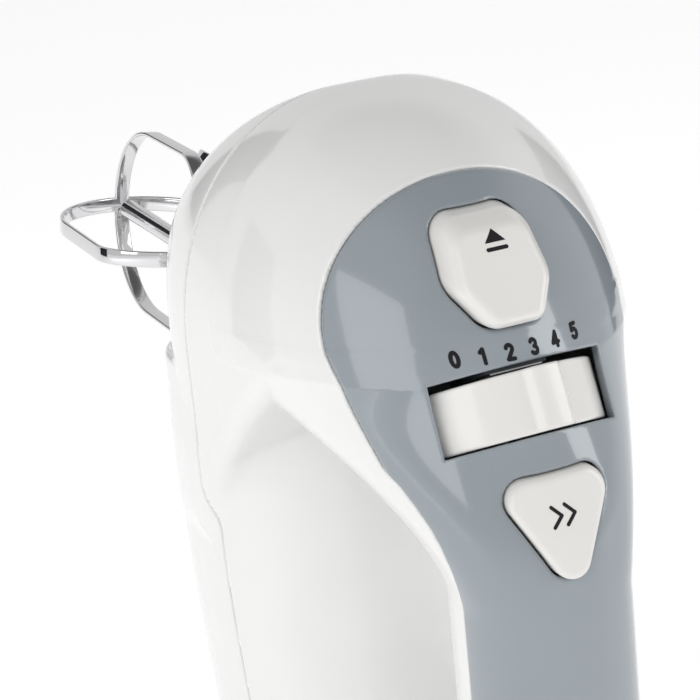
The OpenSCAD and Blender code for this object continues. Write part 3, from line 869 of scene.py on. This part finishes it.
def outward(verts, quads):
    """Turns the faces of a closed form outward."""
    a, b, c, d = (verts[quads[:, k]] for k in range(4))
    volume = (np.cross(a, b) * c).sum() + (np.cross(a, c) * d).sum()
    return quads if volume > 0 else quads[:, ::-1]


def wrapped_quads(n, m):
    """Faces of a grid of n by m points that closes on itself both ways."""
    i, j = np.meshgrid(np.arange(n), np.arange(m), indexing="ij")
    k, l = (i + 1) % n, (j + 1) % m
    return np.stack([i * m + j, k * m + j, k * m + l, i * m + l], -1).reshape(-1, 4)


def sweep_loop(path, profile, across):
    """Carries a closed profile round a closed path; across is the profile's fixed side."""
    tangent = np.roll(path, -1, 0) - np.roll(path, 1, 0)
    tangent /= np.linalg.norm(tangent, axis=1)[:, None]
    side = np.tile(np.array(across, float), (len(path), 1))
    normal = np.cross(tangent, side)
    verts = (path[:, None, :] + side[:, None, :] * profile[None, :, :1]
             + normal[:, None, :] * profile[None, :, 1:]).reshape(-1, 3)
    return verts, outward(verts, wrapped_quads(len(path), len(profile)))


def strip_profile(width, thick):
    corner = thick * 0.42
    pts = []
    for cx, cy, start in ((1, 1, 0), (-1, 1, 90), (-1, -1, 180), (1, -1, 270)):
        for a in (0, 30, 60, 90):
            angle = math.radians(start + a)
            pts.append((cx * (width / 2 - corner) + corner * math.cos(angle),
                        cy * (thick / 2 - corner) + corner * math.sin(angle)))
    return np.array(pts)


def lathe(profile, steps=72):
    """Turns a closed outline of radius and length about the Y axis."""
    prof = np.array(profile, float)
    angle = np.linspace(0, 2 * np.pi, steps, endpoint=False)
    verts = np.stack([prof[:, None, 0] * np.cos(angle), prof[:, None, 1] + 0 * angle,
                      prof[:, None, 0] * np.sin(angle)], -1).reshape(-1, 3)
    return verts, outward(verts, wrapped_quads(len(prof), steps))


def flat_lathe(profile, name, move, steps=72):
    """A turned piece shaded smooth round its axis and sharp at its edges."""
    verts, quads = lathe(profile, steps)
    piece = piece_from(verts + np.array(move, float), quads, name)
    sharp_edges(piece, 28)
    return piece


def sharp_edges(piece, degrees):
    mesh = piece.data
    limit = math.cos(math.radians(degrees))
    normals = {}
    for face in mesh.polygons:
        for key in face.edge_keys:
            normals.setdefault(key, []).append(face.normal)
    for edge in mesh.edges:
        pair = normals.get(tuple(sorted(edge.vertices)), ())
        edge.use_edge_sharp = len(pair) == 2 and pair[0].dot(pair[1]) < limit


def turned(verts, angle, x0):
    c, s = math.cos(angle), math.sin(angle)
    out = verts.copy()
    out[:, 0] = verts[:, 0] * c + verts[:, 2] * s + x0
    out[:, 2] = -verts[:, 0] * s + verts[:, 2] * c + SPINDLE_Z
    return out


def make_beater(name, side, turn):
    body = f"beater_{name}"
    x0 = side * SPINDLE_X
    half = loop_line()
    whole = even(np.concatenate([half, half[::-1][1:] * [-1, 1]]), 241)[:-1]
    path = np.stack([whole[:, 0], whole[:, 1], np.zeros(len(whole))], 1)
    v, q = sweep_loop(path, strip_profile(STRIP_W, STRIP_T), (0, 0, 1))
    both = [turned(v, turn + quarter * math.pi / 2, x0) for quarter in (0, 1)]
    loops = piece_from(np.concatenate(both), np.concatenate([q, q + len(v)]),
                       f"beater_loops_{name}_form")
    sharp_edges(loops, 40)
    finish_piece(loops, body, "chrome", f"beater_loops_{name}")
    for part, outline, rides, slot in (("beater_shaft", SHAFT, body, "chrome"),
                                       ("beater_collar", COLLAR, body, "chrome"),
                                       ("spindle", SPINDLE, f"spindle_{name}", "steel")):
        piece = flat_lathe(outline, f"{part}_{name}_form", (x0, 0, SPINDLE_Z))
        finish_piece(piece, rides, slot, f"{part}_{name}")


def make_beaters():
    make_beater("left", -1, TURN_LEFT)
    make_beater("right", 1, TURN_RIGHT)


def screw_field(p):
    """A pan-head screw with a cross recess, its seat at y = 0."""
    x, y, z = p.T
    r = np.hypot(x, z)
    head = smooth_max(r - 3.2, np.abs(y - 1.1) - 1.1, 0.8)
    thread = 0.16 * np.cos(2 * np.pi * y / 1.1 + np.arctan2(z, x))
    shank = np.maximum(r - 1.36 + thread, np.maximum(-26 - y, y - 1))
    arm = np.minimum(np.maximum(np.abs(x) - 0.35, np.abs(z) - 1.6),
                     np.maximum(np.abs(z) - 0.35, np.abs(x) - 1.6))
    return np.maximum(np.minimum(head, shank), -np.maximum(arm, 1.2 - y))


def gland_field(p):
    """A cord gland with a flange outside and a hexagonal nut inside."""
    x, y, z = p[:, 0], p[:, 1] - GLAND_Y, p[:, 2] - GLAND_Z
    r = np.hypot(x, z)
    body = smooth_max(r - 6, np.abs(y - 11.5) - 11.5, 0.8)
    flange = smooth_max(r - 7, np.abs(y - 1.25) - 1.25, 0.8)
    flats = np.abs(np.stack([x, x / 2 + z * 0.866, x / 2 - z * 0.866])).max(0) - 7.2
    nut = smooth_max(flats, np.abs(y - 21.6) - 1.4, 0.4)
    return smooth_max(np.minimum(np.minimum(body, flange), nut), 3.6 - r, 0.5)


def rest_field(p):
    """Two rubber feet with rounded corners and grooves across their underside."""
    small = box_field(p * (1, 1, 0), (0, -12, 0), (14, 24, 5), 5)
    large = box_field(p * (1, 1, 0), (0, 32.5, 0), (29, 26.5, 5), 5)
    groove = np.maximum(np.abs(np.mod(p[:, 1] + 4, 8) - 4) - 0.7, p[:, 2] - 0.6)
    body = smooth_max(np.minimum(small, large), np.abs(p[:, 2] - HEEL_T / 2) - HEEL_T / 2, 0.6)
    return np.maximum(body, -groove)


def make_hardware(step):
    screw = net(screw_field, (-3.6, -27, -3.6), (3.6, 3, 3.6), step * 0.35, "screw")
    count = len(screw.data.vertices)
    verts = np.empty(count * 3, np.float32)
    screw.data.vertices.foreach_get("co", verts)
    quads = np.array([list(face.vertices) for face in screw.data.polygons])
    spots = [np.array([across, seat, height]) for across, height, seat in SCREWS]
    screws = piece_from(np.concatenate([verts.reshape(-1, 3) / MM + spot for spot in spots]),
                        np.concatenate([quads + count * k for k in range(len(spots))]),
                        "case_screws_form")
    bpy.data.objects.remove(screw)
    sharp_edges(screws, 40)
    finish_piece(screws, "housing", "steel", "case_screws")
    finish_piece(net(gland_field, (-9, -58, 9), (9, -33, 29), step * 0.6, "cord_gland_form"),
                 "housing", "grey_plastic", "cord_gland")
    finish_piece(net(rest_field, (-31, -38, -0.5), (31, 61, 2.6), step * 0.7, "heel_rest_form"),
                 "housing", "black_rubber", "heel_rest")


# ---------------------------------------------------------------- studio
AZ, EL, ROLL = math.radians(-22.5), math.radians(19.04), math.radians(5.77)
CAMERA_DISTANCE = 476.8
SENSOR_W = 36
FOCAL = 3.583857  # in widths of the picture
TARGET = Vector((-41.1, -59.2, 161.11))


def make_camera():
    back = Vector((math.sin(AZ) * math.cos(EL), -math.cos(AZ) * math.cos(EL), math.sin(EL)))
    right = Vector((math.cos(AZ), math.sin(AZ), 0))
    up = back.cross(right)
    r = right * math.cos(ROLL) - up * math.sin(ROLL)
    u = right * math.sin(ROLL) + up * math.cos(ROLL)
    data = bpy.data.cameras.new("camera")
    data.sensor_width = SENSOR_W
    data.lens = FOCAL * SENSOR_W
    data.clip_start = 0.01
    camera = bpy.data.objects.new("camera", data)
    rotation = Matrix((r, u, back)).transposed()
    place = (TARGET + back * CAMERA_DISTANCE) * MM
    camera.matrix_world = Matrix.Translation(place) @ rotation.to_4x4()
    bpy.context.scene.collection.objects.link(camera)
    bpy.context.scene.camera = camera


def aim_at(thing, place, aim):
    thing.location = place
    thing.rotation_euler = (Vector(aim) - Vector(place)).to_track_quat("-Z", "Y").to_euler()


def area_light(name, place, aim, size, power, mirrored=True):
    data = bpy.data.lights.new(name, "AREA")
    data.shape = "RECTANGLE"
    data.size, data.size_y = size
    data.energy = power
    lamp = bpy.data.objects.new(name, data)
    aim_at(lamp, place, aim)
    lamp.visible_glossy = mirrored
    bpy.context.scene.collection.objects.link(lamp)


def make_world():
    """White surroundings under a dim ceiling."""
    world = bpy.data.worlds.new("studio")
    bpy.context.scene.world = world
    world.use_nodes = True
    nodes, links = world.node_tree.nodes, world.node_tree.links
    coords = nodes.new("ShaderNodeTexCoord")
    dot = nodes.new("ShaderNodeVectorMath")
    dot.operation = "DOT_PRODUCT"
    dot.inputs[1].default_value = (0.22, 0.1, 0.97)
    links.new(coords.outputs["Generated"], dot.inputs[0])
    ramp = nodes.new("ShaderNodeMapRange")
    ramp.interpolation_type = "SMOOTHSTEP"
    ramp.inputs["From Min"].default_value = 0.72
    ramp.inputs["From Max"].default_value = 0.96
    ramp.inputs["To Min"].default_value = 0.7
    ramp.inputs["To Max"].default_value = 0.12
    links.new(dot.outputs["Value"], ramp.inputs["Value"])
    back = nodes["Background"]
    back.inputs["Color"].default_value = (1, 1, 1, 1)
    links.new(ramp.outputs["Result"], back.inputs["Strength"])


def flag(name, place, aim, size):
    """A dark card that only shows in reflections."""
    card = sheet(name, size[0] / 2, size[1] / 2)
    aim_at(card, place, aim)
    mat = new_material(name, (0.03, 0.03, 0.035), 0.9, specular=0.0)
    add_bump(mat, 30, 0.02, 0.0005)
    card.data.materials.append(mat)
    card.visible_camera = card.visible_diffuse = card.visible_shadow = False


def make_floor():
    floor = sheet("floor", 4.0, 4.0)
    mat = new_material("pale_floor", (0.9, 0.9, 0.9), 0.6)
    shader = mat.node_tree.nodes["Principled BSDF"]
    shader.inputs["Emission Color"].default_value = (1, 1, 1, 1)
    shader.inputs["Emission Strength"].default_value = 0.4
    add_bump(mat, 40, 0.02, 0.0005)
    floor.data.materials.append(mat)


def make_studio():
    make_world()
    make_floor()
    area_light("left_box", (-0.85, -0.55, 0.55), (0, 0, 0.12), (0.5, 0.7), 1.9)
    area_light("right_box", (0.8, -0.6, 0.45), (0, 0, 0.12), (0.35, 0.7), 2.2)
    area_light("top_box", (0.0, 0.1, 1.3), (0, 0, 0.1), (1.5, 1.5), 2.0, mirrored=False)
    area_light("low_fill", (-0.9, -0.2, 0.1), (0, 0, 0.08), (0.5, 0.3), 1.2, mirrored=False)
    flag("flag_left", (-1.0, 0.5, 0.25), (0, 0.1, 0.14), (0.5, 0.9))
    flag("flag_right", (1.0, 0.45, 0.2), (0, 0.0, 0.14), (0.4, 0.7))
    flag("flag_back", (-0.25, 1.1, 0.5), (0, 0.1, 0.14), (0.3, 0.7))
    bpy.context.scene.view_settings.view_transform = "Standard"


STEP = 0.7
paint_cad_nodes()
make_shells(STEP)
make_controls(STEP)
make_marks(STEP)
make_beaters()
make_hardware(STEP)
make_camera()
make_studio()
